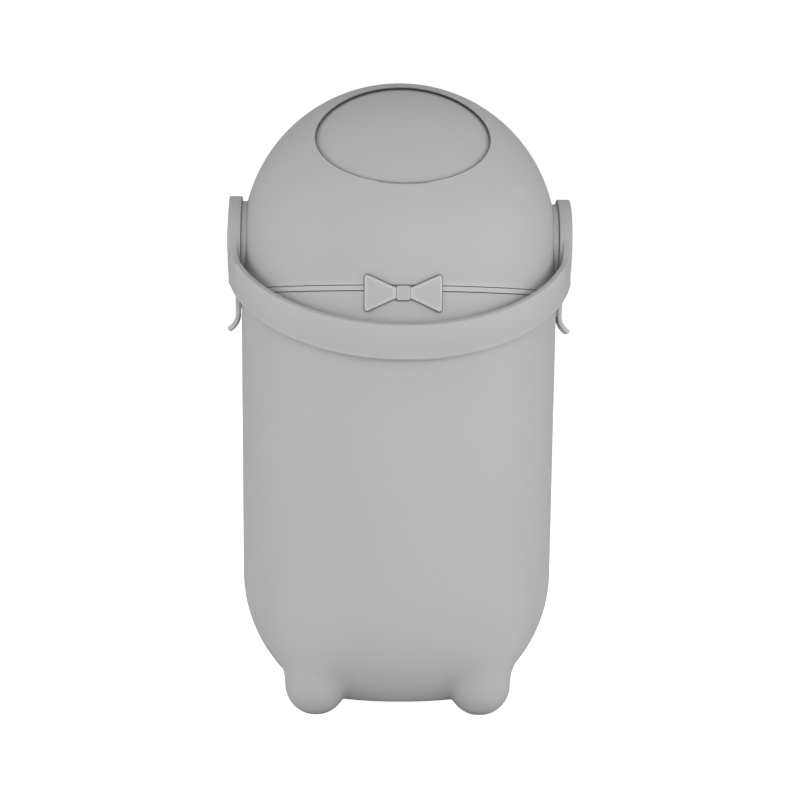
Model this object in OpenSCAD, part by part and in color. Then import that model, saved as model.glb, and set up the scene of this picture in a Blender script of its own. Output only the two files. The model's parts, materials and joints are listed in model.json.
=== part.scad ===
// Nappy bin with a domed head, a turning drum and a bail handle.
// The origin is the centre of the footprint on the floor, +Z is up and the front faces -Y.

/* [Bucket] */
// Height of the bucket's rim above the floor
rim_z = 338.9; // [320:1:360]
// Outer radius of the bucket at the rim
rim_r = 131.5; // [118:0.5:145]
// How much smaller that radius is where the rounded bottom begins
side_taper = 3.7; // [2:0.1:5]
// Height at which the rounded bottom begins
low_z = 111.6; // [100:1:125]
// Distance of the rounding's centre from the axis
bottom_in = 2.6; // [1:0.1:8]
// Height of the flat bottom above the floor
bottom_z = 10.5; // [8:0.5:14]
// Wall of the bucket
bucket_wall = 2.6; // [2:0.1:3.2]

/* [Legs] */
// How far a foot's ball stands in from the bucket's side
leg_set_in = 9; // [6:0.5:14]
// Radius of a foot's ball
leg_r = 25.5; // [22:0.5:28]
// Height of a foot's ball centre
leg_z = 24.2; // [21:0.1:24.5]
// Radius of the soft haunch above each foot
haunch_r = 42; // [36:1:46]
// Height that the haunch stands out of the rounded bottom
haunch_out = 4; // [3:0.5:5]
// Angle of the haunch from straight down, about the middle of the rounding
haunch_tilt = 62; // [58:1:66]
// Wall of a hollow leg
leg_wall = 3.4; // [2.6:0.1:4]

/* [Dome] */
// How far the dome and its skirt stand in from the rim
dome_set_in = 0.6; // [0.5:0.1:1.2]
// Height of the hubs above the skirt's bottom; the drum's axis is at their middle
hub_rise = 7.5; // [7:0.5:14]
// Wall of the dome
dome_wall = 2; // [1.8:0.1:2.4]
// Gap between the skirt and the ribbon below it
skirt_gap = 0.3; // [0.2:0.1:0.6]

/* [Opening] */
// Half of the opening's width
opening_half_w = 69.7; // [60:0.5:71]
// Half of the opening's height, seen along its cut
opening_half_h = 51.5; // [44:0.5:52]
// Distance of the opening's middle above a line along its cut through the drum's centre
opening_up = 56.5; // [54:0.5:60]
// Angle between the opening's cut and straight up
opening_tilt = 75; // [72:1:78]

/* [Liner ring] */
// Thickness of the ring's flange, which shows as a ribbon
ribbon_h = 4.6; // [4:0.1:6]
// How far the ribbon stands in from the rim
ribbon_set_in = 0.5; // [0.3:0.1:0.9]
// Width of the flange, from the ribbon in to the bore
flange_w = 6.5; // [6:0.1:7.5]
// Depth of the ring's skirt in the bucket
ring_depth = 17; // [12:1:24]

/* [Drum] */
// Running gap between the drum and the dome
drum_gap = 0.5; // [0.4:0.1:0.8]
// Wall of the drum
drum_wall = 2.2; // [1.8:0.1:2.6]
// Angle between the drum's mouth and straight down
mouth_tilt = 50.7; // [45:0.1:56]
// How far the cup's wall stands in from the sides of the opening
cup_set_in = 1.7; // [1:0.1:6]
// Depth of the cup's floor beyond the drum's centre
cup_below = 70; // [50:1:80]
// Wall of the cup
cup_wall = 2; // [1.6:0.1:2.4]
// Width of the cup's lip
cup_lip = 9; // [8:0.5:10]

/* [Journals] */
// Radius of the journals that carry the drum
journal_r = 16; // [14:0.5:17]
// Wall of the bearing bushes
bush_wall = 3; // [2:0.5:3.5]
// Running clearance of a journal in its bush
running = 0.05; // [0.03:0.01:0.08]
// How much smaller the boss around each bush is than the hub
boss_set_in = 4; // [2:0.5:7]
// Depth of the bosses inside the dome
boss_depth = 10.4; // [9:0.1:14]

/* [Handle] */
// Radius of the handle's hubs
hub_r = 36; // [34:0.5:36.5]
// Gap between the bosses and the hubs
hub_gap = 0.3; // [0.2:0.1:0.6]
// Gap between the bail's band and the bucket's side
band_gap = 5.5; // [5.3:0.1:7]
// Thickness of the band
band_t = 7; // [5.5:0.1:8]
// Height of the band, square to its slope
band_h = 24; // [20:0.5:26]
// Slope of the band at rest
band_slope = 29.5; // [27:0.5:31]
// Drop of the band's middle below the drum's axis
band_drop = 8; // [6:0.5:9]

/* [Clips] */
// Width of a side clip
clip_w = 24; // [20:1:28]
// Thickness of a side clip
clip_t = 3.4; // [2.6:0.1:3.6]
// Gap between a clip and the bucket's side
clip_stand = 1; // [0.9:0.1:1.6]
// Height of the clip pins above the ribbon
clip_pin_up = 3; // [2.8:0.1:3.3]
// Radius of the clip pins
clip_pin_r = 1.5; // [1.2:0.1:1.6]

/* [Bow] */
// Width of the bow
bow_w = 62; // [54:1:66]
// Height of the bow at its ends
bow_h = 28.5; // [24:0.5:30]
// Thickness of the bow's wings
bow_t = 3.4; // [2.4:0.1:3.6]

/* [Hidden] */

// Smoothness of round faces
fine = 128;
fit = 0.1;
clear = 0.3;
over = 1;
plastic = [0.72, 0.72, 0.725];
rubber = [0.3, 0.3, 0.31];
steel = [0.75, 0.76, 0.78];
dark_plastic = [0.5, 0.5, 0.51];

low_r = rim_r - side_taper;
bottom_r = low_r - bottom_in;
leg_at = low_r - leg_set_in - leg_r;
rim_edge = 0.7;
ribbon_z = rim_z + ribbon_h;
ribbon_r = rim_r - ribbon_set_in;
ring_bore_r = ribbon_r - flange_w;
skirt_z = ribbon_z + skirt_gap;
dome_r = rim_r - dome_set_in;
pivot_z = skirt_z + hub_rise + hub_r;
skirt_in_r = dome_r - dome_wall;
drum_r = skirt_in_r - drum_gap;
drum_in_r = drum_r - drum_wall;
drum_end_t = 2.5;
boss_in_x = dome_r - boss_depth;
drum_end = boss_in_x - drum_gap;
drum_end_in = drum_end - drum_end_t;
cup_r = opening_half_w - cup_set_in;
lip_r = cup_r + cup_lip;
mouth_r = lip_r + clear;
mouth_h = sqrt(pow(drum_r, 2) - pow(mouth_r, 2));
ledge_h = mouth_h - 6;
ledge_t = 3;
cup_screw_r = lip_r - cup_lip / 2 + 0.6;
cup_screw_head_r = 2.6;
cup_screw_shank_r = 1.4;
cup_screw_reach = 10;
bush_in_r = journal_r + running;
bush_r = bush_in_r + bush_wall;
boss_x = dome_r + 0.3;
boss_r = hub_r - boss_set_in;
hub_x = boss_x + hub_gap;
band_in_r = rim_r + band_gap;
band_r = band_in_r + band_t;
hub_t = band_r - hub_x;
hub_out_x = band_r;
journal_flange_r = journal_r + 9;
journal_flange_t = 3;
journal_screw_ring = journal_r + 4.6;
hub_crown = 3;
spigot_len = hub_t - 6;
spigot_flat = 10;
spigot_r = journal_r - 2;
hub_screw_r = 2.5;
hub_screw_head_r = 5;
hub_cap_r = 13;
hub_cap_t = 1.8;
band_back = 9;
clip_pin_z = ribbon_z + clip_pin_up;
clip_knuckle_r = clip_pin_r + 1.7;
clip_x = rim_r + clip_stand;
clip_pin_x = dome_r + clip_knuckle_r + 0.5;
clip_ear_t = 3.6;
clip_gap = 0.3;
clip_low_z = rim_z - 14;
clip_bend_r = 13;
clip_bend = 48;
clip_tail = 2.5;
tooth_z = rim_z - 8;
tooth_h = 5;
tooth_w = 12;
seal_w = 2.2;
seal_r = (ring_bore_r + ribbon_r) / 2 - 1.6;
bow_back_r = rim_r + 0.1;
bow_z = rim_z - 1.1;
bow_neck = 7.5;
knot_w = 12.5;
knot_h = 13.5;
bow_round = 2.5;
peg_r = 1.4;
peg_x = 14;

// A solid of revolution about the Z axis, from the outline drawn inside it
module turned() {
    rotate_extrude($fn = fine) children();
}

// Mirrors what stands on the +X side to the side given, 1 or -1
module on_side(side) {
    if (side > 0) children();
    else mirror([1, 0, 0]) children();
}

// Turns a shape drawn along +Z to lie along +X at the drum's axis
module on_axis(x) {
    translate([x, 0, pivot_z]) rotate([0, 90, 0]) children();
}

// A cylinder on the drum's axis from x0 to x1
module axis_rod(x0, x1, r) {
    on_axis(x0) cylinder(h = x1 - x0, r = r, $fn = fine);
}

// Places a shape drawn along +Z on the mouth's axis, with the drum's centre as its origin
module on_mouth() {
    translate([0, 0, pivot_z]) rotate([180 + mouth_tilt, 0, 0]) children();
}

// ---- Bucket ----

// Half section of the bucket's body, shrunk by a wall
module bucket_outline(wall, floor_z, top_z) {
    edge = wall > 0 ? 0 : rim_edge;
    polygon([[0, low_z], [low_r - wall, low_z], [rim_r - wall, rim_z - edge], [rim_r - wall - edge, top_z],
        [0, top_z]]);
    intersection() {
        translate([bottom_in, low_z]) circle(r = bottom_r - wall, $fn = fine);
        translate([0, floor_z]) square([rim_r, low_z - floor_z]);
    }
}

// A leg: a column with a ball foot, and the haunch that eases it into the rounded bottom
module leg(shrink) {
    far = bottom_r + bottom_in * sin(haunch_tilt) + haunch_out - haunch_r;
    haunch_z = low_z - far * cos(haunch_tilt);
    translate([leg_at, 0, leg_z]) turned() {
        intersection() {
            circle(r = leg_r - shrink, $fn = fine);
            translate([0, -2 * leg_r]) square(4 * leg_r);
        }
        square([leg_r - shrink - 0.15, haunch_z - leg_z]);
    }
    translate([far * sin(haunch_tilt), 0, haunch_z]) sphere(r = haunch_r - shrink, $fn = fine);
}

module legs(shrink) {
    for (turn = [45:90:315]) rotate([0, 0, turn]) leg(shrink);
}

module bucket() {
    color(plastic) difference() {
        union() {
            turned() bucket_outline(0, bottom_z, rim_z);
            legs(0);
            for (side = [-1, 1]) on_side(side) tooth();
        }
        turned() bucket_outline(bucket_wall, bottom_z + bucket_wall + 0.4, rim_z + over);
        legs(leg_wall);
        translate([0, 0, -leg_r]) cube([3 * leg_at, 3 * leg_at, 2 * leg_r], center = true);
    }
}

// The catch that a side clip's window drops over
module tooth() {
    translate([rim_r - bucket_wall / 2, tooth_w / 2, tooth_z]) rotate([90, 0, 0])
        linear_extrude(tooth_w) polygon([[0, -tooth_h], [clip_x - clear - rim_r + bucket_wall / 2, 0],
            [clip_x - clear - rim_r + bucket_wall / 2, tooth_h / 2 - 1], [0, tooth_h / 2]]);
}

// ---- Liner ring, seal and bow ----

module liner_ring() {
    edge = 0.7;
    skirt_r = rim_r - bucket_wall - clear;
    color(plastic) difference() {
        turned() difference() {
            polygon([[ring_bore_r, ribbon_z], [ring_bore_r, rim_z - ring_depth],
                [skirt_r - 0.6, rim_z - ring_depth], [skirt_r, rim_z - 3], [skirt_r, rim_z],
                [ribbon_r - edge, rim_z], [ribbon_r, rim_z + edge],
                [ribbon_r, ribbon_z - edge], [ribbon_r - edge, ribbon_z]]);
            translate([seal_r, ribbon_z]) square([seal_w, 2 * seal_w], center = true);
        }
        bow_pegs(peg_r + fit);
    }
}

module rim_seal() {
    color(rubber) turned() translate([seal_r, ribbon_z - seal_w / 2])
        square([seal_w - 2 * fit, seal_w], center = true);
}

// The two pegs that hold the bow to the ribbon
module bow_pegs(r) {
    for (x = [-peg_x, peg_x])
        translate([x, -bow_back_r - 1, rim_z + ribbon_h / 2]) rotate([-90, 0, 0])
            cylinder(h = 4.4, r = r, $fn = 32);
}

module bow_wing(side) {
    end = bow_w / 2 - bow_round;
    hull() {
        for (z = [-1, 1]) {
            translate([side * end, z * (bow_h / 2 - bow_round)]) circle(r = bow_round, $fn = 24);
            translate([side * knot_w * 0.3, z * (bow_neck / 2 - 1)]) circle(r = 1, $fn = 24);
        }
    }
}

module bow() {
    color(plastic) {
        intersection() {
            translate([0, -bow_back_r / 2, bow_z]) rotate([90, 0, 0]) linear_extrude(bow_back_r) {
                bow_wing(-1);
                bow_wing(1);
            }
            turned() translate([bow_back_r, bow_z - bow_h]) square([bow_t, 2 * bow_h]);
        }
        intersection() {
            translate([0, -bow_back_r / 2, bow_z]) rotate([90, 0, 0]) linear_extrude(bow_back_r)
                square([knot_w, knot_h], center = true);
            turned() translate([bow_back_r, bow_z - bow_h]) square([bow_t + 1, 2 * bow_h]);
        }
        bow_pegs(peg_r);
    }
}

// ---- Dome ----

// A point of the opening's rim at angle t, on a sphere of radius r about the drum's axis
function rim_point(t, r) = let (x = opening_half_w * cos(t), up = opening_up + opening_half_h * sin(t))
    on_sphere(x, up, r);

// The point of that sphere at x to the side and up above the middle, seen along the opening's cut
function on_sphere(x, up, r) = let (out = sqrt(pow(r, 2) - pow(x, 2) - pow(up, 2)))
    [x, up * cos(opening_tilt) - out * sin(opening_tilt), up * sin(opening_tilt) + out * cos(opening_tilt)];

// A cone from the dome's centre through the opening's rim
module opening_cone() {
    steps = 72;
    reach = 1.2;
    ring = [for (i = [0:steps - 1]) reach * rim_point(360 * i / steps, dome_r)];
    cap = reach * on_sphere(0, opening_up, dome_r);
    sides = [for (i = [0:steps - 1]) [0, 2 + i, 2 + (i + 1) % steps]];
    lid = [for (i = [0:steps - 1]) [1, 2 + (i + 1) % steps, 2 + i]];
    translate([0, 0, pivot_z])
        polyhedron(points = concat([[0, 0, 0], cap], ring), faces = concat(sides, lid));
}

module dome_outline(r, low) {
    intersection() {
        circle(r = r, $fn = fine);
        square([r + over, r + over]);
    }
    translate([0, low - pivot_z]) square([r, pivot_z - low]);
}

// The two ears that carry a clip's pin
module clip_ears() {
    for (s = [-1, 1]) {
        y = s * (clip_w / 2 + clip_gap + clip_ear_t / 2);
        translate([clip_pin_x, y, clip_pin_z]) rotate([90, 0, 0])
            cylinder(h = clip_ear_t, r = clip_knuckle_r, center = true, $fn = 48);
        translate([(clip_pin_x + dome_r - 2) / 2, y, clip_pin_z])
            cube([clip_pin_x - dome_r + 2, clip_ear_t, 2 * clip_knuckle_r], center = true);
    }
}

module dome_shell() {
    edge = 0.7;
    color(plastic) difference() {
        union() {
            difference() {
                union() {
                    translate([0, 0, pivot_z]) turned() dome_outline(dome_r, skirt_z);
                    for (side = [-1, 1]) on_side(side) {
                        axis_rod(boss_in_x, boss_x, boss_r);
                        difference() {
                            clip_ears();
                            translate([0, -clip_w, skirt_z - 4 * clip_knuckle_r])
                                cube([2 * dome_r, 2 * clip_w, 4 * clip_knuckle_r]);
                        }
                    }
                }
                translate([0, 0, pivot_z]) turned() dome_outline(skirt_in_r, skirt_z - over);
            }
            for (side = [-1, 1]) on_side(side) axis_rod(boss_in_x, dome_r - 1, boss_r);
        }
        opening_cone();
        for (side = [-1, 1]) on_side(side) {
            axis_rod(boss_in_x - over, boss_x + over, bush_r);
            clip_pin_hole(clip_pin_r + 0.02);
        }
        turned() polygon([[dome_r + over, skirt_z - over], [dome_r + over, skirt_z + edge + over],
            [dome_r, skirt_z + edge], [dome_r - edge, skirt_z], [dome_r - edge, skirt_z - over]]);
        turned() translate([skirt_in_r - over, skirt_z + 2]) square([over + 0.5, 1.6]);
    }
}

module clip_pin_hole(r) {
    translate([clip_pin_x, 0, clip_pin_z]) rotate([90, 0, 0])
        cylinder(h = clip_w + 2 * clip_gap + 2 * clip_ear_t + over, r = r, center = true, $fn = 48);
}

// Ring snapped into the skirt, which keeps the drum's seal
module collar() {
    color(dark_plastic) turned() difference() {
        union() {
            translate([skirt_in_r - 4.6, skirt_z]) square([4.5, 6]);
            translate([skirt_in_r - 1, skirt_z + 2.2]) square([1.3, 1.2]);
        }
        translate([skirt_in_r - 4.6 - over, skirt_z + 2]) square([over + 1.5, 2.4]);
    }
}

module drum_seal() {
    lip_top = skirt_z + 4.3;
    touch_r = sqrt(pow(drum_r, 2) - pow(pivot_z - lip_top, 2)) + clear;
    color(rubber) turned()
        polygon([[touch_r, lip_top - 0.4], [touch_r, lip_top], [skirt_in_r - 3.2, lip_top],
            [skirt_in_r - 3.2, skirt_z + 2.1], [skirt_in_r - 4.5, skirt_z + 2.1]]);
}

module bush(side) {
    color(dark_plastic) on_side(side) difference() {
        axis_rod(boss_in_x, boss_x, bush_r);
        axis_rod(boss_in_x - over, boss_x + over, bush_in_r);
    }
}

module left_bush() { bush(-1); }
module right_bush() { bush(1); }

// ---- Clips ----

// Outline of a clip in the XZ plane: a plate with a bent-out tail
function clip_arc(r, from, to, centre) =
    [for (i = [0:8]) centre + r * [cos(from + (to - from) * i / 8), sin(from + (to - from) * i / 8)]];

module clip_outline() {
    bend_centre = [clip_x + clip_t + clip_bend_r, clip_low_z];
    tail = clip_tail * [sin(clip_bend), -cos(clip_bend)];
    inner = clip_arc(clip_bend_r + clip_t, 180, 180 + clip_bend, bend_centre);
    outer = clip_arc(clip_bend_r, 180 + clip_bend, 180, bend_centre);
    polygon(concat([[clip_x, clip_pin_z]], inner, [inner[8] + tail, outer[0] + tail],
        outer, [[clip_x + clip_t, clip_pin_z]]));
    translate([clip_pin_x, clip_pin_z]) circle(r = clip_knuckle_r, $fn = 48);
}

module clip(side) {
    window_h = tooth_h / 2 + tooth_h + 2;
    color(plastic) on_side(side) difference() {
        translate([0, clip_w / 2, 0]) rotate([90, 0, 0]) linear_extrude(clip_w) clip_outline();
        clip_pin_hole(clip_pin_r + running);
        translate([clip_x + clip_t / 2, 0, tooth_z - tooth_h / 4])
            cube([2 * clip_t + over, tooth_w + 2, window_h], center = true);
    }
}

module left_clip() { clip(-1); }
module right_clip() { clip(1); }

module clip_pins() {
    color(steel) for (side = [-1, 1]) on_side(side)
        translate([clip_pin_x, 0, clip_pin_z]) rotate([90, 0, 0])
            cylinder(h = clip_w + 2 * clip_gap + 2 * clip_ear_t, r = clip_pin_r, center = true, $fn = 48);
}

// ---- Drum ----

// The drum's ball with flat ends, shrunk by its walls
module ball(r, end) {
    intersection() {
        translate([0, 0, pivot_z]) sphere(r = r, $fn = fine);
        translate([0, 0, pivot_z]) cube([2 * end, 3 * r, 3 * r], center = true);
    }
}

module drum_shell() {
    difference() {
        ball(drum_r, drum_end);
        ball(drum_in_r, drum_end_in);
        for (side = [-1, 1]) on_side(side) {
            axis_rod(drum_end_in - over, drum_end + over, journal_r + fit);
            journal_screw_holes(1.2);
        }
    }
}

// The half of space on the mouth's side of the drum's centre
module mouth_half() {
    on_mouth() translate([0, 0, drum_r]) cube([3 * drum_r, 3 * drum_r, 2 * drum_r], center = true);
}

module drum_front() {
    color(plastic) difference() {
        drum_shell();
        mouth_half();
    }
}

module drum_back() {
    color(dark_plastic) difference() {
        union() {
            intersection() {
                drum_shell();
                mouth_half();
            }
            on_mouth() turned() translate([mouth_r - 2, ledge_h - ledge_t])
                square([4, drum_wall + ledge_t + 1.5]);
            on_mouth() turned() translate([cup_r + cup_wall + clear, ledge_h - ledge_t])
                square([mouth_r - cup_r - cup_wall, ledge_t]);
        }
        on_mouth() translate([0, 0, ledge_h]) cylinder(h = drum_r, r = mouth_r, $fn = fine);
        cup_screw_places() cylinder(h = 2 * cup_screw_reach, r = cup_screw_shank_r, center = true, $fn = 24);
    }
}

// Puts a shape at each screw of the cup's lip, with the ledge's face as its origin
module cup_screw_places() {
    on_mouth() for (turn = [45:90:315]) rotate([0, 0, turn]) translate([cup_screw_r, 0, ledge_h]) children();
}

module drum_cup() {
    r = cup_r + cup_wall;
    round = 30;
    color(dark_plastic) difference() {
        intersection() {
            on_mouth() turned() union() {
                translate([cup_r - 0.5, ledge_h]) square([lip_r - cup_r + 0.5, drum_r]);
                difference() {
                    cup_outline(r, -cup_below, round, ledge_h + 2);
                    cup_outline(cup_r, cup_wall - cup_below, round - cup_wall, ledge_h + 60);
                }
            }
            translate([0, 0, pivot_z]) sphere(r = drum_r, $fn = fine);
        }
        on_mouth() cylinder(h = drum_r, r = cup_r, $fn = fine);
        cup_screw_places() cylinder(h = 2 * cup_screw_reach, r = cup_screw_shank_r, center = true, $fn = 24);
        cup_screw_places() translate([0, 0, 3])
            cylinder(h = 2 * cup_screw_reach, r = cup_screw_head_r + fit, $fn = 24);
    }
}

// Half section of a round-cornered cup
module cup_outline(r, low, round, top) {
    translate([0, low + round]) square([r, top - low - round]);
    translate([0, low]) square([r - round, round + over]);
    intersection() {
        translate([r - round, low + round]) circle(r = round, $fn = fine);
        translate([r - round - over, low]) square([round + over, round + over]);
    }
}

module cup_screws() {
    color(steel) cup_screw_places() {
        translate([0, 0, 3]) cylinder(h = 2, r = cup_screw_head_r, $fn = 24);
        translate([0, 0, -ledge_t]) cylinder(h = ledge_t + 3.5, r = cup_screw_shank_r - 0.02, $fn = 24);
    }
}

// ---- Journals and handle ----

// The flat-sided end of a journal that keys it to the handle
module spigot(grow, length) {
    on_axis(hub_x) intersection() {
        cylinder(h = length, r = spigot_r + grow, $fn = fine);
        translate([0, 0, length / 2]) cube([2 * (spigot_flat + grow), 4 * spigot_r, length], center = true);
    }
}

module journal_screw_holes(r) {
    on_axis(drum_end_in - journal_flange_t - over) for (turn = [45:90:315]) rotate([0, 0, turn])
        translate([journal_screw_ring, 0, 0])
            cylinder(h = journal_flange_t + drum_end_t + 2 * over, r = r, $fn = 24);
}

module journal(side) {
    color(dark_plastic) on_side(side) difference() {
        union() {
            axis_rod(drum_end_in - journal_flange_t, drum_end_in, journal_flange_r);
            axis_rod(drum_end_in - over, hub_x, journal_r);
            spigot(0, spigot_len);
        }
        journal_screw_holes(1.2);
        axis_rod(hub_x - 8, hub_x + hub_t, hub_screw_r);
    }
}

module left_journal() { journal(-1); }
module right_journal() { journal(1); }

module journal_screws() {
    color(steel) for (side = [-1, 1]) on_side(side)
        on_axis(drum_end_in - journal_flange_t) for (turn = [45:90:315])
            rotate([0, 0, turn]) translate([journal_screw_ring, 0, 0]) {
                translate([0, 0, -1.5]) cylinder(h = 1.5, r = 2.2, $fn = 24);
                translate([0, 0, -over]) cylinder(h = journal_flange_t + 2.3 + over, r = 1.18, $fn = 24);
            }
}

module hub_outline() {
    edge = 1.5;
    polygon([[0, 0], [hub_r - edge, 0], [hub_r, edge], [hub_r, hub_t - hub_crown - edge],
        [hub_r - edge, hub_t - hub_crown], [hub_r / 2, hub_t - hub_crown / 4], [hub_cap_r + 1, hub_t],
        [0, hub_t]]);
}

// The bail's band: a tube cut by a slab that slopes down to the front
module band() {
    intersection() {
        turned() translate([band_in_r, pivot_z - band_r]) square([band_t, 2 * band_r]);
        translate([0, 0, pivot_z - band_drop]) rotate([band_slope, 0, 0])
            cube([4 * band_r, 4 * band_r, band_h], center = true);
        translate([-band_r, -2 * band_r + band_back, 0]) cube([2 * band_r, 2 * band_r, 2 * pivot_z]);
    }
}

module handle() {
    color(plastic) difference() {
        union() {
            band();
            for (side = [-1, 1]) on_side(side) on_axis(hub_x) turned() hub_outline();
        }
        for (side = [-1, 1]) on_side(side) {
            spigot(fit, spigot_len + fit);
            axis_rod(hub_x, hub_out_x + over, hub_screw_r + fit);
            axis_rod(hub_out_x - hub_cap_t, band_r + over, hub_cap_r + fit);
            axis_rod(hub_out_x - hub_cap_t - 1.8, band_r + over, hub_screw_head_r + fit);
        }
    }
}

module hub_screws() {
    color(steel) for (side = [-1, 1]) on_side(side) {
        axis_rod(hub_x - 7, hub_out_x - hub_cap_t - 1, hub_screw_r - 0.02);
        axis_rod(hub_out_x - hub_cap_t - 1.8, hub_out_x - hub_cap_t - 0.1, hub_screw_head_r);
    }
}

module hub_caps() {
    color(plastic) for (side = [-1, 1]) on_side(side)
        axis_rod(hub_out_x - hub_cap_t, hub_out_x + 0.3, hub_cap_r);
}

bucket();
liner_ring();
rim_seal();
bow();
dome_shell();
collar();
drum_seal();
left_bush();
right_bush();
left_clip();
right_clip();
clip_pins();
drum_front();
drum_back();
drum_cup();
cup_screws();
left_journal();
right_journal();
journal_screws();
handle();
hub_screws();
hub_caps();
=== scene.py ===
import bpy, bmesh, json, math
import numpy as np
from mathutils import Matrix, Vector


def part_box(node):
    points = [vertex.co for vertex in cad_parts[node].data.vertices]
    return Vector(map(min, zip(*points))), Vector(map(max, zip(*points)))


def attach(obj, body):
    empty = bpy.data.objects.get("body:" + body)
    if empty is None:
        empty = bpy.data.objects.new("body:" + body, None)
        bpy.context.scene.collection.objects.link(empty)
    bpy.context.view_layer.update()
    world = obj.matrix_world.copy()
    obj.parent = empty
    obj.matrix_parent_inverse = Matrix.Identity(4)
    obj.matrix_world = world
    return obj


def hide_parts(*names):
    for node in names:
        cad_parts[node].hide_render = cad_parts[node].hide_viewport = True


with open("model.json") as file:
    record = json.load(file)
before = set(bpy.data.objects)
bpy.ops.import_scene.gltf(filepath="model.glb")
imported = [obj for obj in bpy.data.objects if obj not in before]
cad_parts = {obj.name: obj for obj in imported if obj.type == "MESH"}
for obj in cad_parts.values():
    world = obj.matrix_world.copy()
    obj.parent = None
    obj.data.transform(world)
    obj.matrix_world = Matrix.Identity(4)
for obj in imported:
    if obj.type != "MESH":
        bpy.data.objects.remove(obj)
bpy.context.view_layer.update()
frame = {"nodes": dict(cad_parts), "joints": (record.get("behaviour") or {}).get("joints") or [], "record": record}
print("frame loaded")

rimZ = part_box("bucket")[1].z               # top of the bucket
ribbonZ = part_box("liner_ring")[1].z        # top of the ribbon
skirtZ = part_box("dome_shell")[0].z         # bottom of the head's skirt
pivotZ = next(j["pos_m"][2] for j in frame["joints"] if j["name"] == "drum_turn")
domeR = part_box("dome_shell")[1].z - pivotZ


# a node with its settings and its inputs, each a value or another node's output to link
def addNode(tree, kind, inputs=(), **settings):
    node = tree.nodes.new(kind)
    for key, value in settings.items():
        setattr(node, key, value)
    for key, value in dict(inputs).items():
        if isinstance(value, bpy.types.NodeSocket):
            tree.links.new(value, node.inputs[key])
        else:
            node.inputs[key].default_value = value
    return node


grainLook = dict(driftScale=9, driftSpan=(0.3, 0.7), patchScale=60, patchSpan=(0.35, 0.65), grainSize=1800,
                 edgeLight=0.22, creaseDark=0.65)


# moulded surface: a faint drift of tone and fine grain, with a painted highlight on bent edges and painted shade
# in creases
def mouldedGrain(look):
    tree = bpy.data.node_groups.new("mouldedGrain", "ShaderNodeTree")
    for label, kind, value in (
            ("Colour", "Color", (0.5, 0.5, 0.5, 1)), ("Tone drift", "Float", 0.03),
            ("Grain size", "Float", look["grainSize"]), ("Edge light", "Float", look["edgeLight"]),
            ("Crease dark", "Float", look["creaseDark"]), ("Rough low", "Float", 0.42),
            ("Rough high", "Float", 0.5)):
        socket = tree.interface.new_socket(name=label, in_out="INPUT", socket_type="NodeSocket" + kind)
        socket.default_value = value
    for label, kind in (("Colour", "Color"), ("Roughness", "Float"), ("Height", "Float")):
        tree.interface.new_socket(name=label, in_out="OUTPUT", socket_type="NodeSocket" + kind)
    given = addNode(tree, "NodeGroupInput").outputs
    place = addNode(tree, "ShaderNodeTexCoord").outputs["Object"]

    drift = addNode(tree, "ShaderNodeTexNoise", {"Vector": place, "Scale": look["driftScale"], "Detail": 3})
    low = addNode(tree, "ShaderNodeMath", {0: 1, 1: given["Tone drift"]}, operation="SUBTRACT")
    spread = addNode(tree, "ShaderNodeMapRange", {
        "Value": drift.outputs["Fac"], "From Min": look["driftSpan"][0], "From Max": look["driftSpan"][1],
        "To Min": low.outputs[0], "To Max": 1})
    tint = addNode(tree, "ShaderNodeMix", {0: 1, 6: given["Colour"], 7: spread.outputs["Result"]},
                   data_type="RGBA", blend_type="MULTIPLY")

    # painted light carried on the mesh: above 0 a painted highlight on outer edges, below 0 painted shade in
    # creases
    bend = addNode(tree, "ShaderNodeAttribute", attribute_name="edgeTone").outputs["Fac"]
    worn = addNode(tree, "ShaderNodeMapRange", {"Value": bend, "To Max": given["Edge light"]})
    dark = addNode(tree, "ShaderNodeMapRange", {
        "Value": bend, "From Max": -1, "To Max": given["Crease dark"]})
    net = addNode(tree, "ShaderNodeMath", {0: worn.outputs["Result"], 1: dark.outputs["Result"]},
                  operation="SUBTRACT")
    factor = addNode(tree, "ShaderNodeMath", {0: net.outputs[0], 1: 1}, operation="ADD")
    shade = addNode(tree, "ShaderNodeVectorMath", operation="SCALE")
    tree.links.new(tint.outputs[2], shade.inputs[0])
    tree.links.new(factor.outputs[0], shade.inputs["Scale"])

    patch = addNode(tree, "ShaderNodeTexNoise", {"Vector": place, "Scale": look["patchScale"], "Detail": 4})
    rough = addNode(tree, "ShaderNodeMapRange", {
        "Value": patch.outputs["Fac"], "From Min": look["patchSpan"][0], "From Max": look["patchSpan"][1],
        "To Min": given["Rough low"], "To Max": given["Rough high"]})
    grain = addNode(tree, "ShaderNodeTexNoise", {"Vector": place, "Scale": given["Grain size"], "Detail": 2})
    addNode(tree, "NodeGroupOutput", {
        "Colour": shade.outputs[0], "Roughness": rough.outputs["Result"], "Height": grain.outputs["Fac"]})
    return tree


grainGroup = mouldedGrain(grainLook)

# each finish: its colour, how much the tone drifts, its roughness from and to, and how deep its grain is
finishLook = dict(
    shellGrey=dict(colour=(0.47, 0.47, 0.475), drift=0.015, rough=(0.5, 0.58), bump=0.05),
    # the handle's grey is the shell grey made darker: painted shade standing in for the duller light on the strap,
    # hubs and caps
    handleGrey=dict(colour=(0.44, 0.44, 0.445), drift=0.015, rough=(0.5, 0.58), bump=0.05),
    innerGrey=dict(colour=(0.36, 0.36, 0.365), drift=0.03, rough=(0.5, 0.6), bump=0.05),
    sealRubber=dict(colour=(0.06, 0.06, 0.065), drift=0.03, rough=(0.65, 0.75), bump=0.05),
    brushedSteel=dict(colour=(0.6, 0.6, 0.62), drift=0.03, rough=(0.25, 0.35), bump=0.03, metallic=1),
)
bumpDepth = 0.0002
shine = 0.3


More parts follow.
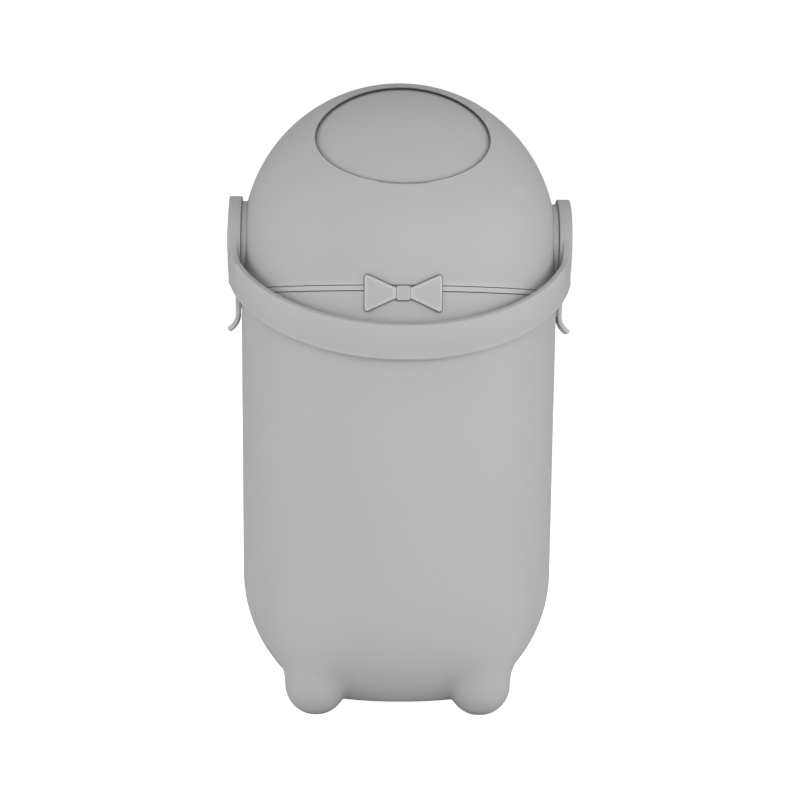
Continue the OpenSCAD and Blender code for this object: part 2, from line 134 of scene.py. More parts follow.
def makeFinish(name, look):
    material = bpy.data.materials.new(name)
    material.use_nodes = True
    tree = material.node_tree
    grain = addNode(tree, "ShaderNodeGroup", node_tree=grainGroup)
    for label, value in (("Colour", (*look["colour"], 1)), ("Tone drift", look["drift"]),
                         ("Grain size", grainLook["grainSize"]), ("Rough low", look["rough"][0]),
                         ("Rough high", look["rough"][1])):
        grain.inputs[label].default_value = value
    press = addNode(tree, "ShaderNodeBump", {
        "Strength": look["bump"], "Distance": bumpDepth, "Height": grain.outputs["Height"]})
    shader = tree.nodes["Principled BSDF"]
    shader.inputs["Specular IOR Level"].default_value = shine
    shader.inputs["Metallic"].default_value = look.get("metallic", 0)
    tree.links.new(grain.outputs["Colour"], shader.inputs["Base Color"])
    tree.links.new(grain.outputs["Roughness"], shader.inputs["Roughness"])
    tree.links.new(press.outputs["Normal"], shader.inputs["Normal"])
    return material


finishes = {name: makeFinish(name, look) for name, look in finishLook.items()}
slotFinish = {"grey_plastic": "shellGrey", "inner_plastic": "innerGrey", "seal_rubber": "sealRubber",
              "steel": "brushedSteel"}
slotOf = {part["node"]: part["material_slot"] for part in frame["record"]["subparts"]}
for nodeName, node in frame["nodes"].items():
    for materialSlot in node.material_slots:
        materialSlot.material = finishes[slotFinish[slotOf[nodeName]]]
print("materials made")


# Geometry Nodes: copies of a shape in even steps round the bin's axis
def stepsRoundAxis():
    tree = bpy.data.node_groups.new("stepsRoundAxis", "GeometryNodeTree")
    for label, kind in (("Shape", "Geometry"), ("Copies", "Int"), ("Finish", "Material")):
        tree.interface.new_socket(name=label, in_out="INPUT", socket_type="NodeSocket" + kind)
    tree.interface.new_socket(name="Shape", in_out="OUTPUT", socket_type="NodeSocketGeometry")
    given = addNode(tree, "NodeGroupInput").outputs
    spots = addNode(tree, "GeometryNodePoints", {"Count": given["Copies"]})
    step = addNode(tree, "ShaderNodeMath", {0: math.tau, 1: given["Copies"]}, operation="DIVIDE")
    index = addNode(tree, "GeometryNodeInputIndex")
    turn = addNode(tree, "ShaderNodeMath", {0: index.outputs[0], 1: step.outputs[0]}, operation="MULTIPLY")
    angles = addNode(tree, "ShaderNodeCombineXYZ", {"Z": turn.outputs[0]})
    placed = addNode(tree, "GeometryNodeInstanceOnPoints", {
        "Points": spots.outputs[0], "Instance": given["Shape"], "Rotation": angles.outputs[0]})
    whole = addNode(tree, "GeometryNodeRealizeInstances", {"Geometry": placed.outputs[0]})
    painted = addNode(tree, "GeometryNodeSetMaterial", {
        "Geometry": whole.outputs[0], "Material": given["Finish"]})
    addNode(tree, "NodeGroupOutput", {"Shape": painted.outputs[0]})
    return tree


stepsTree = stepsRoundAxis()


# runs the tree on a piece and leaves it a plain mesh
def repeatRound(piece, copies, finish):
    steps = piece.modifiers.new("stepsRoundAxis", "NODES")
    steps.node_group = stepsTree
    given = {item.name: item.identifier for item in stepsTree.interface.items_tree if item.in_out == "INPUT"}
    steps[given["Copies"]] = copies
    steps[given["Finish"]] = finish
    depsgraph = bpy.context.evaluated_depsgraph_get()
    repeated = bpy.data.meshes.new_from_object(piece.evaluated_get(depsgraph), preserve_all_data_layers=True,
                                               depsgraph=depsgraph)
    piece.modifiers.remove(steps)
    single, piece.data = piece.data, repeated
    bpy.data.meshes.remove(single)
    repeated.name = piece.name


bendLook = dict(least=0.14, full=0.4)      # bends in radians: the least that gets painted highlight or shade, and the one that gets the full amount


# a mesh piece: tones are its own painted highlight and shade, and where its bend test says so its bends add theirs
def newPiece(name, points, faces, body, *stands, finish="shellGrey", smooth=40, tones=None,
             worn=lambda p: True, copies=1):
    mesh = bpy.data.meshes.new(name)
    mesh.from_pydata([tuple(p) for p in points], [], [tuple(f) for f in faces])
    tone = mesh.attributes.new("edgeTone", "FLOAT", "POINT")
    if tones is not None:
        tone.data.foreach_set("value", np.asarray(tones, np.float32))
    mesh.validate()
    mesh.update()
    piece = bpy.data.objects.new(name, mesh)
    bpy.context.scene.collection.objects.link(piece)
    if copies > 1:
        repeatRound(piece, copies, finishes[finish])
    closeMesh(piece.data, bendLook, worn)
    for polygon in piece.data.polygons:
        polygon.use_smooth = True
    piece.data.set_sharp_from_angle(angle=math.radians(smooth))
    piece.data.materials.clear()
    piece.data.materials.append(finishes[finish])
    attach(piece, body)
    if stands:
        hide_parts(*stands)
    return piece


# merges the seams, turns the faces outward, and paints light by each bend: above 0 a painted highlight on outer
# edges, below 0 painted shade in creases
def closeMesh(mesh, look, worn):
    bm = bmesh.new()
    bm.from_mesh(mesh)
    bmesh.ops.remove_doubles(bm, verts=bm.verts, dist=1e-7)
    bmesh.ops.recalc_face_normals(bm, faces=bm.faces)
    tone = bm.verts.layers.float["edgeTone"]
    for vert in filter(lambda v: worn(v.co), bm.verts):
        bends = [edge.calc_face_angle_signed(0) for edge in vert.link_edges if len(edge.link_faces) == 2]
        most = max(bends, key=abs, default=0)
        if abs(most) > look["least"]:
            vert[tone] += max(-1, min(1, most / look["full"]))
    bm.to_mesh(mesh)
    bm.free()


# faces of a grid of rows x columns points, closed round its columns
def ringFaces(rows, columns, closed=False):
    faces = []
    for r in range(rows if closed else rows - 1):
        for c in range(columns):
            a = r * columns + c
            b = r * columns + (c + 1) % columns
            up = ((r + 1) % rows - r) * columns
            faces.append((a, b, b + up, a + up))
    return faces


# an arc of an outline: centre, radius, from and to angles in degrees
def arc(cx, cz, r, a0, a1, steps=6):
    angles = [math.radians(a0 + (a1 - a0) * i / steps) for i in range(steps + 1)]
    return [(cx + r * math.cos(a), cz + r * math.sin(a)) for a in angles]


# a closed outline of (radius, height) turned about the Z axis
def turnedGrid(outline, segments):
    angles = np.linspace(0, 2 * np.pi, segments, endpoint=False)
    points = [(r * math.cos(a), r * math.sin(a), z) for r, z in outline for a in angles]
    return points, ringFaces(len(outline), segments, closed=True)


# the same turned form about the drum's axis, pointing to one side
def turnedSideways(outline, segments, side, fromX=0):
    points, faces = turnedGrid(outline, segments)
    return [(side * (fromX + z), y, pivotZ + x) for x, y, z in points], faces


# outward normals at the points of a closed outline
def outlineNormals(shape):
    edges = np.roll(shape, -1, 0) - np.roll(shape, 1, 0)
    normals = np.stack([edges[:, 1], -edges[:, 0]], 1)
    normals /= np.linalg.norm(normals, axis=1)[:, None]
    outward = ((shape - shape.mean(0)) * normals).sum() >= 0
    return normals if outward else -normals


# a flat shape given as (x, z), run from one y to another with bevelled rims
def plateAlongY(outline, y0, y1, bevel):
    shape = np.array(outline)
    normals = outlineNormals(shape)
    n = len(shape)
    ease = bevel * 0.3
    points = []
    for inset, y in ((bevel, y0), (ease, y0 + ease), (0, y0 + bevel),
                     (0, y1 - bevel), (ease, y1 - ease), (bevel, y1)):
        points += [(x, y, z) for x, z in shape - normals * inset]
    return points, ringFaces(6, n) + [tuple(range(n))[::-1], tuple(range(5 * n, 6 * n))]


# adds one form's points and faces to a piece's own
def addForm(points, faces, form):
    start = len(points)
    points.extend(form[0])
    faces.extend(tuple(start + k for k in face) for face in form[1])


bucketLook = dict(
    lowR=0.1278, lowZ=0.1116, bottomR=0.1252, squash=1.03, bottomZ=0.0100, rimR=0.1315, wall=0.0026,
    legXY=0.066, legR=0.0249, legZ=0.0245, legTop=0.080, flare=0.10,    # ball feet and the haunches over them
    blend=0.030, lowBlend=0.005, blendZ=0.014, blendRise=0.045,         # how softly they meet the body
    bottomEdge=0.004, footEdge=0.0008, rimEdge=0.0008,
    heart=0.2, reach=(0.03, 0.27), tries=97, halvings=30,               # rays start here and look this far
    outerRows=((0.02, 0.09, 8), (0.10, 0.36, 92), (0.375, 1, 40)),
    innerRows=((0.02, 0.36, 36), (0.4, 1, 18)), segments=320,
)


def smoothMin(a, b, k):
    h = np.clip(0.5 + 0.5 * (b - a) / k, 0, 1)
    return b * (1 - h) + a * h - k * h * (1 - h)


def smoothMax(a, b, k):
    return -smoothMin(-a, -b, k)


# distance of points from the bucket's outer skin, negative inside
def bucketField(p, look):
    r = np.hypot(p[:, 0], p[:, 1])
    z = p[:, 2]
    inset = look["lowR"] - look["bottomR"]
    taper = (look["rimR"] - look["lowR"]) / (rimZ - look["lowZ"])
    side = np.where(z > look["lowZ"], r - look["lowR"] - taper * (z - look["lowZ"]),
                    np.hypot(np.maximum(r - inset, 0), (z - look["lowZ"]) * look["squash"]) - look["bottomR"])
    body = smoothMax(side, look["bottomZ"] - z, look["bottomEdge"])
    x, y = np.abs(p[:, 0]) - look["legXY"], np.abs(p[:, 1]) - look["legXY"]
    along = np.clip(z, look["legZ"], look["legTop"])
    leg = np.sqrt(x * x + y * y + (z - along) ** 2) - look["legR"] - look["flare"] * (along - look["legZ"])
    rise = np.clip((z - look["blendZ"]) / look["blendRise"], 0, 1)
    k = look["lowBlend"] + (look["blend"] - look["lowBlend"]) * rise * rise * (3 - 2 * rise)
    return smoothMax(smoothMin(body, leg, k), -z, look["footEdge"])


# where rays from a point high inside the bucket cross one level of the field
def rayHits(directions, look, level, fromInside):
    heart = np.array([0, 0, look["heart"]])

    def depth(run):
        return bucketField(heart + directions * run, look) - level

    steps = np.linspace(*look["reach"], look["tries"])
    if not fromInside:
        steps = steps[::-1]
    low = np.full(len(directions), steps[0])
    high = np.full(len(directions), steps[-1])
    found = np.zeros(len(directions), bool)
    before = depth(steps[0])
    for a, b in zip(steps[:-1], steps[1:]):
        now = depth(b)
        crossed = ~found & (before * now <= 0)
        low[crossed], high[crossed] = a, b
        found |= crossed
        before = now
    sign = np.sign(depth(low[:, None]))
    for _ in range(look["halvings"]):
        middle = (low + high) / 2
        same = np.sign(depth(middle[:, None])) == sign
        low = np.where(same, middle, low)
        high = np.where(same, high, middle)
    return heart + directions * low[:, None]


# rows of a skin from near the pole under the bucket up to its rim, at shares of the whole angle
def skinRows(shares, look, level, fromInside, topR):
    turn = np.linspace(0, 2 * np.pi, look["segments"], endpoint=False)
    limit = math.pi - math.atan2(topR, rimZ - look["rimEdge"] - look["heart"])
    rows = []
    for fall in np.concatenate([np.linspace(*share) for share in shares]) * limit:
        directions = np.stack([math.sin(fall) * np.cos(turn), math.sin(fall) * np.sin(turn),
                               np.full_like(turn, -math.cos(fall))], 1)
        rows.append(rayHits(directions, look, level, fromInside))
    return rows


def makeBucket(look):
    edge, n = look["rimEdge"], look["segments"]
    outR, inR = look["rimR"], look["rimR"] - look["wall"]
    outer = skinRows(look["outerRows"], look, 0, False, outR)
    inner = skinRows(look["innerRows"], look, -look["wall"], True, inR)
    turn = np.linspace(0, 2 * np.pi, n, endpoint=False)
    lip = arc(outR - edge, rimZ - edge, edge, 15, 90, 4) + arc(inR + edge, rimZ - edge, edge, 90, 165, 4)
    ring = [np.stack([r * np.cos(turn), r * np.sin(turn), np.full_like(turn, z)], 1) for r, z in lip]
    rows = outer + ring + inner[::-1]
    poles = [[0, 0, rows[0][:, 2].mean()], [0, 0, rows[-1][:, 2].mean()]]
    points = np.concatenate(rows + [poles])
    faces = ringFaces(len(rows), n)
    last = (len(rows) - 1) * n
    for c in range(n):
        faces.append((len(points) - 2, (c + 1) % n, c))
        faces.append((len(points) - 1, last + c, last + (c + 1) % n))
    newPiece("bucketShell", points, faces, "bucket", "bucket", smooth=50, worn=lambda p: False)


makeBucket(bucketLook)
print("bucket made")


ribbonLook = dict(outerR=0.1312, boreR=0.1245, skirtR=0.1286, depth=0.017, edge=0.0005,
                  groove=0.0006, grooveIn=0.0035, grooveTop=0.4, draft=0.0006, draftZ=0.003,
                  grooveTone=-3, stripTone=0.5, segments=256)


# the ring that holds the bag: the strip that shows, a groove above and below it, and its skirt; the grooves get
# painted shade and the strip a painted highlight
def makeRibbon(look):
    e = look["edge"]
    outR, boreR, skirtR = look["outerR"], look["boreR"], look["skirtR"]
    top = ribbonZ - look["groove"] * look["grooveTop"]
    low = rimZ + look["groove"]
    step = outR - look["grooveIn"]
    outline = (arc(outR - e, top - e, e, 0, 90) + [(step, top), (step, ribbonZ)] +
               arc(boreR + e, ribbonZ - e, e, 90, 180) +
               [(boreR, rimZ - look["depth"]), (skirtR - look["draft"], rimZ - look["depth"]),
                (skirtR, rimZ - look["draftZ"]), (skirtR, rimZ), (step, rimZ), (step, low)] +
               arc(outR - e, low + e, e, 270, 360))
    points, faces = turnedGrid(outline, look["segments"])
    # painted shade on all but the strip's rounded face, which gets a painted highlight
    tones = np.repeat([look["grooveTone"] if r < outR - e else look["stripTone"] for r, z in outline],
                      look["segments"])
    newPiece("ribbonRing", points, faces, "bucket", "liner_ring", smooth=35, tones=tones)


makeRibbon(ribbonLook)


domeLook = dict(wall=0.002, halfW=0.0702, halfH=0.0515, up=0.0546, tilt=75,     # the opening and its tilt
                lip=0.0008, lipSteps=8, lipEase=(0.0003, 0.0007), lipRun=0.006, lipTone=-4, lipInRows=7,
                skirtEdge=0.0005, segments=240, rows=60, skirtRows=10, inRows=30)


# a direction to the opening's rim, at angle t round it, seen along the opening's cut
def rimDirection(t, look):
    x = look["halfW"] * math.cos(t)
    up = look["up"] + look["halfH"] * math.sin(t)
    out = math.sqrt(domeR ** 2 - x * x - up * up)
    sinTilt, cosTilt = math.sin(math.radians(look["tilt"])), math.cos(math.radians(look["tilt"]))
    return Vector((x, up * cosTilt - out * sinTilt, up * sinTilt + out * cosTilt)).normalized()


# one section of the dome, from the opening's lip over the outside, round the skirt and back inside
def domeSection(turn, look):
    centre = Vector((0, 0, pivotZ))
    inR, e, lip = domeR - look["wall"], look["skirtEdge"], look["lip"] / 2
    start = rimDirection(turn, look)
    end = Vector((math.cos(turn), math.sin(turn), 0))
    between = start.angle(end)
    axis = start.cross(end).normalized()

    def at(angle, radius):
        return centre + (Matrix.Rotation(angle, 3, axis) @ start) * radius

    section = []
    for i in range(look["lipSteps"] + 1):
        a = math.radians(-90 + 180 * i / look["lipSteps"])
        section.append(at(lip * (1 - math.cos(a)) / domeR, domeR - lip + lip * math.sin(a)))
    section += [at((lip + run) / domeR, domeR) for run in look["lipEase"]]
    first = lip / domeR
    section += [at(first + (between - first) * i / look["rows"], domeR) for i in range(1, look["rows"] + 1)]
    heights = np.linspace(pivotZ, skirtZ + e, look["skirtRows"])
    section += [end * domeR + Vector((0, 0, z)) for z in heights[1:]]
    section += [end * r + Vector((0, 0, z)) for r, z in arc(domeR - e, skirtZ + e, e, 0, -90, 4)[1:]]
    section.append(end * inR + Vector((0, 0, skirtZ)))
    run = look["lipRun"] / domeR
    section += [at(between + (run - between) * i / look["inRows"], inR) for i in range(look["inRows"] + 1)]
    return section


def makeDome(look):
    n = look["segments"]
    sections = [domeSection(2 * math.pi * c / n, look) for c in range(n)]
    rows = len(sections[0])
    points = [section[r] for r in range(rows) for section in sections]
    # the opening's lip and the inside near it get painted shade, for the shadow in the gap under its edge
    inLip = rows - look["lipInRows"]
    lipRow = [r <= look["lipSteps"] or r >= inLip for r in range(rows)]
    tones = np.repeat(lipRow, n) * look["lipTone"]
    faces = ringFaces(rows, n, closed=True)
    newPiece("domeShell", points, faces, "head", "dome_shell", smooth=35, tones=tones)


makeDome(domeLook)
print("dome made")


bossLook = dict(r=0.032, bore=0.0195, inX=0.1205, outX=0.1312, edge=0.0008, segments=96)


# a boss on the dome, under a hub
def makeBoss(name, side, look):
    e = look["edge"]
    outline = [(look["bore"], look["inX"]), (look["bore"], look["outX"])] + \
        arc(look["r"] - e, look["outX"] - e, e, 90, 0) + [(look["r"], look["inX"])]
    newPiece(name, *turnedSideways(outline, look["segments"], side), "head")


catchLook = dict(inX=0.1302, outX=0.1322, z=0.3309, low=0.005, face=0.0015, top=0.0025, w=0.012,
                 bevel=0.0003)


# the catches on the bucket that the clips' windows drop over
def makeCatches(look):
    inX, outX, z = look["inX"], look["outX"], look["z"]
    outline = [(inX, z - look["low"]), (outX, z), (outX, z + look["face"]), (inX, z + look["top"])]
    catch = plateAlongY(outline, -look["w"] / 2, look["w"] / 2, look["bevel"])
    newPiece("clipCatches", *catch, "bucket", copies=2)


earLook = dict(inX=0.1295, pinX=0.1346, pinZ=0.3465, knuckle=0.0032, y=(0.0123, 0.0157), bevel=0.0004)


# the ears on the head that hold the clips' pins, two at each side
def makeEars(look):
    k, inX = look["knuckle"], look["inX"]
    tip = arc(look["pinX"], look["pinZ"], k, -90, 90, 10)
    tip = [(tip[0][0], skirtZ)] + [(x, max(z, skirtZ)) for x, z in tip[1:]]
    outline = [(inX, skirtZ)] + tip + [(inX, look["pinZ"] + k)]
    points, faces = [], []
    for s in (-1, 1):
        y0, y1 = sorted(s * y for y in look["y"])
        addForm(points, faces, plateAlongY(outline, y0, y1, look["bevel"]))
    newPiece("clipEars", points, faces, "head", copies=2)


makeCatches(catchLook)
makeBoss("leftBoss", -1, bossLook)
makeBoss("rightBoss", 1, bossLook)
makeEars(earLook)


clipLook = dict(x=0.1325, t=0.0034, pinX=0.1346, pinZ=0.3465, knuckle=0.0032, lowZ=0.3249, bendR=0.013,
                bend=48, tail=0.0025, w=0.024, windowW=0.014, windowZ=(0.3249, 0.3344), bevel=0.0006,
                lap=0.0008)


# the clip as bars round its window: two rails, a head with the knuckle, and the tail
def makeClip(name, side, look):
    x0, x1 = look["x"], look["x"] + look["t"]
    cx, cz = x1 + look["bendR"], look["lowZ"]
    bend = math.radians(look["bend"])
    tail = (look["tail"] * math.sin(bend), -look["tail"] * math.cos(bend))
    inner = arc(cx, cz, look["bendR"] + look["t"], 180, 180 + look["bend"], 12)
    outer = arc(cx, cz, look["bendR"], 180 + look["bend"], 180, 12)
    end = [(x + tail[0], z + tail[1]) for x, z in (inner[-1], outer[0])]
    middle = ((end[0][0] + end[1][0]) / 2, (end[0][1] + end[1][1]) / 2)
    turn = math.degrees(math.atan2(end[0][1] - middle[1], end[0][0] - middle[0]))
    curl = inner + arc(*middle, math.dist(*end) / 2, turn, turn + 180, 8) + outer
    knuckle = arc(look["pinX"], look["pinZ"], look["knuckle"], -55, 235, 18)
    low, high = look["windowZ"]
    half, gap = look["w"] / 2, look["windowW"] / 2
    points, faces = [], []
    for outline, y0, y1 in (
            (curl + knuckle, -half, -gap),
            (curl + knuckle, gap, half),
            ([(x0, high), (x1, high)] + knuckle, -gap - look["lap"], gap + look["lap"]),
            ([(x0, low)] + curl + [(x1, low)], -gap - look["lap"], gap + look["lap"])):
        addForm(points, faces, plateAlongY([(side * x, z) for x, z in outline], y0, y1, look["bevel"]))
    newPiece(name + "Clip", points, faces, name + "_clip", name + "_clip", smooth=30)


makeClip("left", -1, clipLook)
makeClip("right", 1, clipLook)


handleLook = dict(
    innerR=0.1394, outerR=0.144, high=0.024, slope=29.5, drop=0.008, back=0.012,    # the strap
    thin=0.0026, thinY=0.028, thinRun=0.010,                         # it thins beside the hubs
    # edge roundings, and the painted shade on the low edge and how far above it that shade fades out
    edge=0.0010, lowEdge=0.0022, lowTone=-1.1, fadeTone=-0.33, fade=0.003,
    topEase=0.026, lowEase=0.060, easeTop=0.0006,                    # how it flows into the hubs
    hubR=0.036, hubX=0.1315, hubT=0.0119, hubEdge=0.0006,
    crown=0.0015, crownFall=((0.8, 0.62), (0.5, 0.2)),               # shares of the radius and of the crown
    capR=0.0137, wellR=0.0132, wellEdge=0.0005, wellDepth=0.0018,    # the well for the cap
    sideTurn=27, sideSteps=90, steps=120, hubSegments=120, corner=(0, 22, 45, 68, 90),
    wornY=(-0.052, -0.018),                                          # no painted edge highlight or shade between these
)


# centre of the arc that eases the hub into the strap's top edge (s is 1) or low edge (-1), and its first y
def easeArc(s, r, look):
    slope = math.radians(look["slope"])
    edge = s * look["high"] / 2 / math.cos(slope) - look["drop"]
    reach = look["hubR"] + r
    back = edge * math.sin(slope)
    along = back + math.sqrt(back ** 2 + reach ** 2 - r ** 2 - edge ** 2 - 2 * s * edge * r * math.cos(slope))
    y = -along * math.cos(slope)
    z = edge - along * math.sin(slope)
    return (y - s * r * math.sin(slope), z + s * r * math.cos(slope)), y


# heights of the strap's edges at y, from the drum's axis
def strapEdges(y, look):
    slope = math.radians(look["slope"])
    hubR, topEase, lowEase = look["hubR"], look["topEase"], look["lowEase"]
    middle = math.tan(slope) * y - look["drop"]
    half = look["high"] / 2 / math.cos(slope)
    top, low = middle + half, middle - half
    (cy, cz), y0 = easeArc(1, topEase, look)
    end = cy * hubR / (hubR + topEase)
    if y0 < y < end:
        top = cz - math.sqrt(topEase ** 2 - (y - cy) ** 2)
    elif y >= end:
        top = max(top, look["easeTop"])
    (cy, cz), y0 = easeArc(-1, lowEase, look)
    end = cy * hubR / (hubR + lowEase)
    if y0 < y < end:
        low = cz + math.sqrt(lowEase ** 2 - (y - cy) ** 2)
    elif y >= end:
        low = -math.sqrt(max(hubR ** 2 - y * y, 0))
    return top, low


# the strap's section at angle a round the bin: radius, the edge it hangs from, height from it, and its painted
# shade
def strapSection(a, look):
    e, f = look["edge"], look["lowEdge"]
    nearHub = min(1, max(0, (look["thinY"] - look["outerR"] * math.sin(a)) / look["thinRun"]))
    out, inR = look["outerR"] - look["thin"] * nearHub, look["innerR"]
    corner = [(math.cos(math.radians(t)), math.sin(math.radians(t))) for t in look["corner"]]
    section = [(out - e + e * c, "top", -e + e * s, 0) for c, s in corner]
    section += [(inR + e - e * s, "top", -e + e * c, 0) for c, s in corner]
    section += [(inR + e - e * c, "low", e - e * s, 0) for c, s in corner]
    # the strap's low outer edge gets painted shade, fading out just above it
    section += [(out - f + f * s, "low", f - f * c, look["lowTone"]) for c, s in corner[:-1]]
    section += [(out, "low", f, look["fadeTone"]), (out, "low", f + look["fade"], 0)]
    return section


# a hub's outline, turned about the drum's axis
def hubOutline(look):
    r, t, e, crown = look["hubR"], look["hubT"], look["hubEdge"], look["crown"]
    outline = [(0, 0)] + arc(r - e, e, e, -90, 0, 4) + arc(r - e, t - crown - e, e, 0, 80, 4)
    outline += [(r - e, t - crown)] + [(r * share, t - crown * fall) for share, fall in look["crownFall"]]
    return outline + [(look["capR"], t), (look["wellR"], t - look["wellEdge"]),
                      (look["wellR"], t - look["wellDepth"]), (0, t - look["wellDepth"])]


def makeHandle(look):
    first, near = -math.asin(look["back"] / look["outerR"]), math.radians(look["sideTurn"])
    side = np.linspace(first, near, look["sideSteps"])
    middle = np.linspace(near, math.pi - near, look["steps"])[1:-1]
    angles = np.concatenate([side, middle, math.pi - side[::-1]])
    points, tones = [], []
    for a in angles:
        section = strapSection(a, look)
        for r, edge, dz, tone in section:
            y = -r * math.sin(a)
            top, low = strapEdges(y, look)
            points.append((r * math.cos(a), y, pivotZ + (top if edge == "top" else low) + dz))
            tones.append(tone)
    n = len(section)
    faces = ringFaces(len(angles), n) + [tuple(range(n))[::-1], tuple(range(len(points) - n, len(points)))]
    for side in (-1, 1):
        addForm(points, faces, turnedSideways(hubOutline(look), look["hubSegments"], side, look["hubX"]))
    tones += [0] * (len(points) - len(tones))
    newPiece("bailHandle", points, faces, "drum", "handle", finish="handleGrey", smooth=35, tones=tones,
             worn=lambda p: not look["wornY"][0] <= p.y <= look["wornY"][1])


makeHandle(handleLook)


capLook = dict(r=0.013, inX=0.1422, outX=0.14365, edge=0.0005, crownR=0.008, crown=0.0001, peak=0.00015,
               segments=72)


# the caps over the hubs' screws
def makeCaps(look):
    r, outX, e = look["r"], look["outX"], look["edge"]
    outline = [(0, look["inX"]), (r, look["inX"])] + arc(r - e, outX - e, e, 0, 90) + \
        [(look["crownR"], outX + look["crown"]), (0, outX + look["peak"])]
    cap = turnedSideways(outline, look["segments"], 1)
    newPiece("hubCaps", *cap, "drum", "hub_caps", finish="handleGrey", smooth=30, copies=2)


makeCaps(capLook)
print("handle made")


bowLook = dict(
    halfW=0.0308, base=0.0019, slope=0.435, swell=0.0012, tuck=0.0045, corner=0.0027,    # a wing's outline
    z=-0.0016, backR=0.1316, t=0.0034, lift=0.0009, inset=0.0011, bevel=0.0009, dip=0.0007, footTone=-3,
    foot=0.0003, flank=((0.0004, 0.0012), (0.0009, 0.0006)), roll=(0, 22, 45, 68, 90),
    rings=(0.8, 0.6, 0.4, 0.2),
    knotW=0.0062, knotH=0.0065, knotR=0.0030, knotT=0.0045, knotBevel=0.0009, knotRise=0.0010,
)


# a wing's outline as (x, z), from the knot out, round its corners and back
def wingOutline(side, look):
    slope, tuck, c = look["slope"], look["tuck"], look["corner"]
    lean = math.degrees(math.atan(slope))
    x = look["halfW"] - c
    z = look["base"] + slope * x - c / math.cos(math.radians(lean)) + look["swell"]
    top = arc(x, z, c, 90 + lean, 0, 7)
    endX, endZ = top[0]
    tuckZ = look["base"] + slope * tuck + (endZ - look["base"] - slope * endX) * 0.5
    upper = [(tuck + (endX - tuck) * k / 6, tuckZ + (endZ - tuckZ) * k / 6) for k in range(6)] + top
    return [(side * x, z) for x, z in upper + [(x, -z) for x, z in upper[::-1]]]


def knotOutline(look):
    x, z, c = look["knotW"] - look["knotR"], look["knotH"] - look["knotR"], look["knotR"]
    right = arc(x, z, c, 90, 0, 5) + arc(x, -z, c, 0, -90, 5)
    return right + arc(-x, -z, c, -90, -180, 5) + arc(-x, z, c, 180, 90, 5)


# a point of the bow laid round the body
def wrapped(x, z, depth, look):
    r = look["backR"] + depth
    a = x / look["backR"]
    return r * math.sin(a), -r * math.cos(a), rimZ + look["z"] + z


# a plate that follows the body's round: set in at its foot, rolled at its edge, dished or domed on its face
def wrappedPlate(outline, thick, bevel, rise, look):
    n = len(outline)
    draft = look["flank"][-1][0]
    rings = [(look["inset"], 0.0), (look["inset"], look["lift"]), (0.0, look["lift"] + look["foot"])]
    rings += [(inset, thick - bevel - down) for inset, down in look["flank"]]
    rings += [(draft + bevel * (1 - math.cos(a)), thick - bevel + bevel * math.sin(a))
              for a in np.radians(look["roll"])]
    shape = np.array(outline)
    normals = outlineNormals(shape)
    centre = shape.mean(0)
    edge = shape - normals * (bevel + draft)
    points = [wrapped(*(p - q * inset), depth, look)
              for inset, depth in rings for p, q in zip(shape, normals)]
    for k in look["rings"]:
        depth = thick + rise * math.sin(math.pi * (1 - k) / 2)
        points += [wrapped(*(centre + (p - centre) * k), depth, look) for p in edge]
    rows = len(rings) + len(look["rings"])
    faces = ringFaces(rows, n)
    points += [wrapped(*centre, thick + rise, look), wrapped(*centre, 0, look)]
    for c in range(n):
        faces.append(((rows - 1) * n + c, (rows - 1) * n + (c + 1) % n, len(points) - 2))
        faces.append(((c + 1) % n, c, len(points) - 1))
    return points, faces


def makeBow(look):
    points, faces, tones = [], [], []
    wings = [(wingOutline(side, look), look["t"], look["bevel"], -look["dip"]) for side in (-1, 1)]
    knot = (knotOutline(look), look["knotT"], look["knotBevel"], look["knotRise"])
    footRings = 3 + len(look["flank"])
    for outline, thick, bevel, rise in wings + [knot]:
        addForm(points, faces, wrappedPlate(outline, thick, bevel, rise, look))
        # the foot and flanks of each wing and of the knot get painted shade, for the shadow gap round the bow
        tones += [look["footTone"]] * (footRings * len(outline))
        tones += [0] * (len(points) - len(tones))
    newPiece("bowTie", points, faces, "bucket", "bow", smooth=35, tones=tones)


makeBow(bowLook)
print("bow made")


cameraLook = dict(distance=1.865, height=0.254, yaw=1.5, roll=-0.5, lens=100.1, shiftX=0.0025)


def makeCamera(look):
    camera = bpy.data.cameras.new("photoCamera")
    camera.lens = look["lens"]
    camera.sensor_width = 36
    camera.shift_x = look["shiftX"]
    holder = bpy.data.objects.new("photoCamera", camera)
    bpy.context.scene.collection.objects.link(holder)
    yaw = math.radians(look["yaw"])
    holder.location = (-look["distance"] * math.sin(yaw), -look["distance"] * math.cos(yaw), look["height"])
    holder.rotation_euler = (math.radians(90), math.radians(look["roll"]), -yaw)
    bpy.context.scene.camera = holder


makeCamera(cameraLook)


# tone is the floor to the light, seen what it adds to the camera, glow a soft light outside the ring
floorLook = dict(size=400, tone=0.95, seen=0.93, glow=0.16, ring=(0.11, 0.20), rough=0.9)


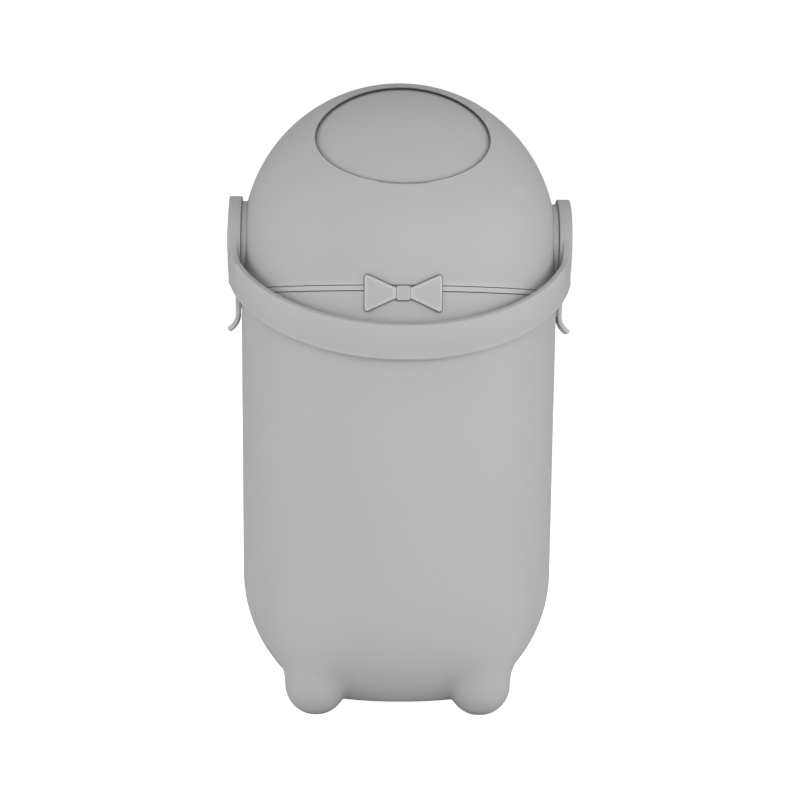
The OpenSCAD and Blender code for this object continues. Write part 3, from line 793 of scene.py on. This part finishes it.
def makeFloor(look):
    bpy.ops.mesh.primitive_plane_add(size=look["size"], location=(0, 0, 0))
    floor = bpy.context.object
    floor.name = "paleFloor"
    material = bpy.data.materials.new("paleFloor")
    material.use_nodes = True
    tree = material.node_tree
    place = addNode(tree, "ShaderNodeTexCoord")
    away = addNode(tree, "ShaderNodeVectorMath", {0: place.outputs["Object"]}, operation="LENGTH")
    ring = addNode(tree, "ShaderNodeMapRange", {
        "Value": away.outputs["Value"], "From Min": look["ring"][0], "From Max": look["ring"][1],
        "To Max": look["glow"]}, interpolation_type="SMOOTHSTEP")
    ray = addNode(tree, "ShaderNodeLightPath")
    seen = addNode(tree, "ShaderNodeMix", {
        0: ray.outputs["Is Camera Ray"], 2: ring.outputs["Result"], 3: look["seen"]})
    shader = tree.nodes["Principled BSDF"].inputs
    shader["Base Color"].default_value = (look["tone"], look["tone"], look["tone"], 1)
    shader["Roughness"].default_value = look["rough"]
    shader["Specular IOR Level"].default_value = 0
    shader["Emission Color"].default_value = (1, 1, 1, 1)
    tree.links.new(seen.outputs[0], shader["Emission Strength"])
    floor.data.materials.append(material)


makeFloor(floorLook)


# each soft light: where it hangs, its width and height, and its power
lightLook = dict(
    front=((0.3, -3.0, 0.45), (3.0, 1.0), 34.5),
    left=((-3.0, -0.8, 0.6), (2.4, 1.6), 27),
    right=((3.0, -0.8, 0.6), (2.4, 1.6), 29),
    top=((0, -0.2, 3.0), (2.6, 2.6), 12),
    leftBack=((-2.6, 1.6, 0.8), (1.8, 1.8), 3),
)
lightAim = Vector((0, 0, 0.3))


def softLight(name, place, size, power):
    light = bpy.data.lights.new(name, "AREA")
    light.shape = "RECTANGLE"
    light.size, light.size_y = size
    light.energy = power
    lamp = bpy.data.objects.new(name, light)
    bpy.context.scene.collection.objects.link(lamp)
    lamp.location = place
    lamp.visible_camera = False
    lamp.rotation_mode = "QUATERNION"
    lamp.rotation_quaternion = (lightAim - Vector(place)).to_track_quat("-Z", "Y")


for name, (place, size, power) in lightLook.items():
    softLight(name, place, size, power)


worldLook = dict(around=0.33, seen=1.05)    # strength to the light, and to the camera


def makeWorld(look):
    world = bpy.data.worlds.new("paleStudio")
    bpy.context.scene.world = world
    world.use_nodes = True
    tree = world.node_tree
    around = tree.nodes["Background"]
    around.inputs["Color"].default_value = (1, 1, 1, 1)
    around.inputs["Strength"].default_value = look["around"]
    seen = addNode(tree, "ShaderNodeBackground", {"Color": (1, 1, 1, 1), "Strength": look["seen"]})
    ray = addNode(tree, "ShaderNodeLightPath")
    mix = addNode(tree, "ShaderNodeMixShader", {
        0: ray.outputs["Is Camera Ray"], 1: around.outputs[0], 2: seen.outputs[0]})
    tree.links.new(mix.outputs[0], tree.nodes["World Output"].inputs["Surface"])


makeWorld(worldLook)
bpy.context.scene.view_settings.view_transform = "Standard"
print("studio made")
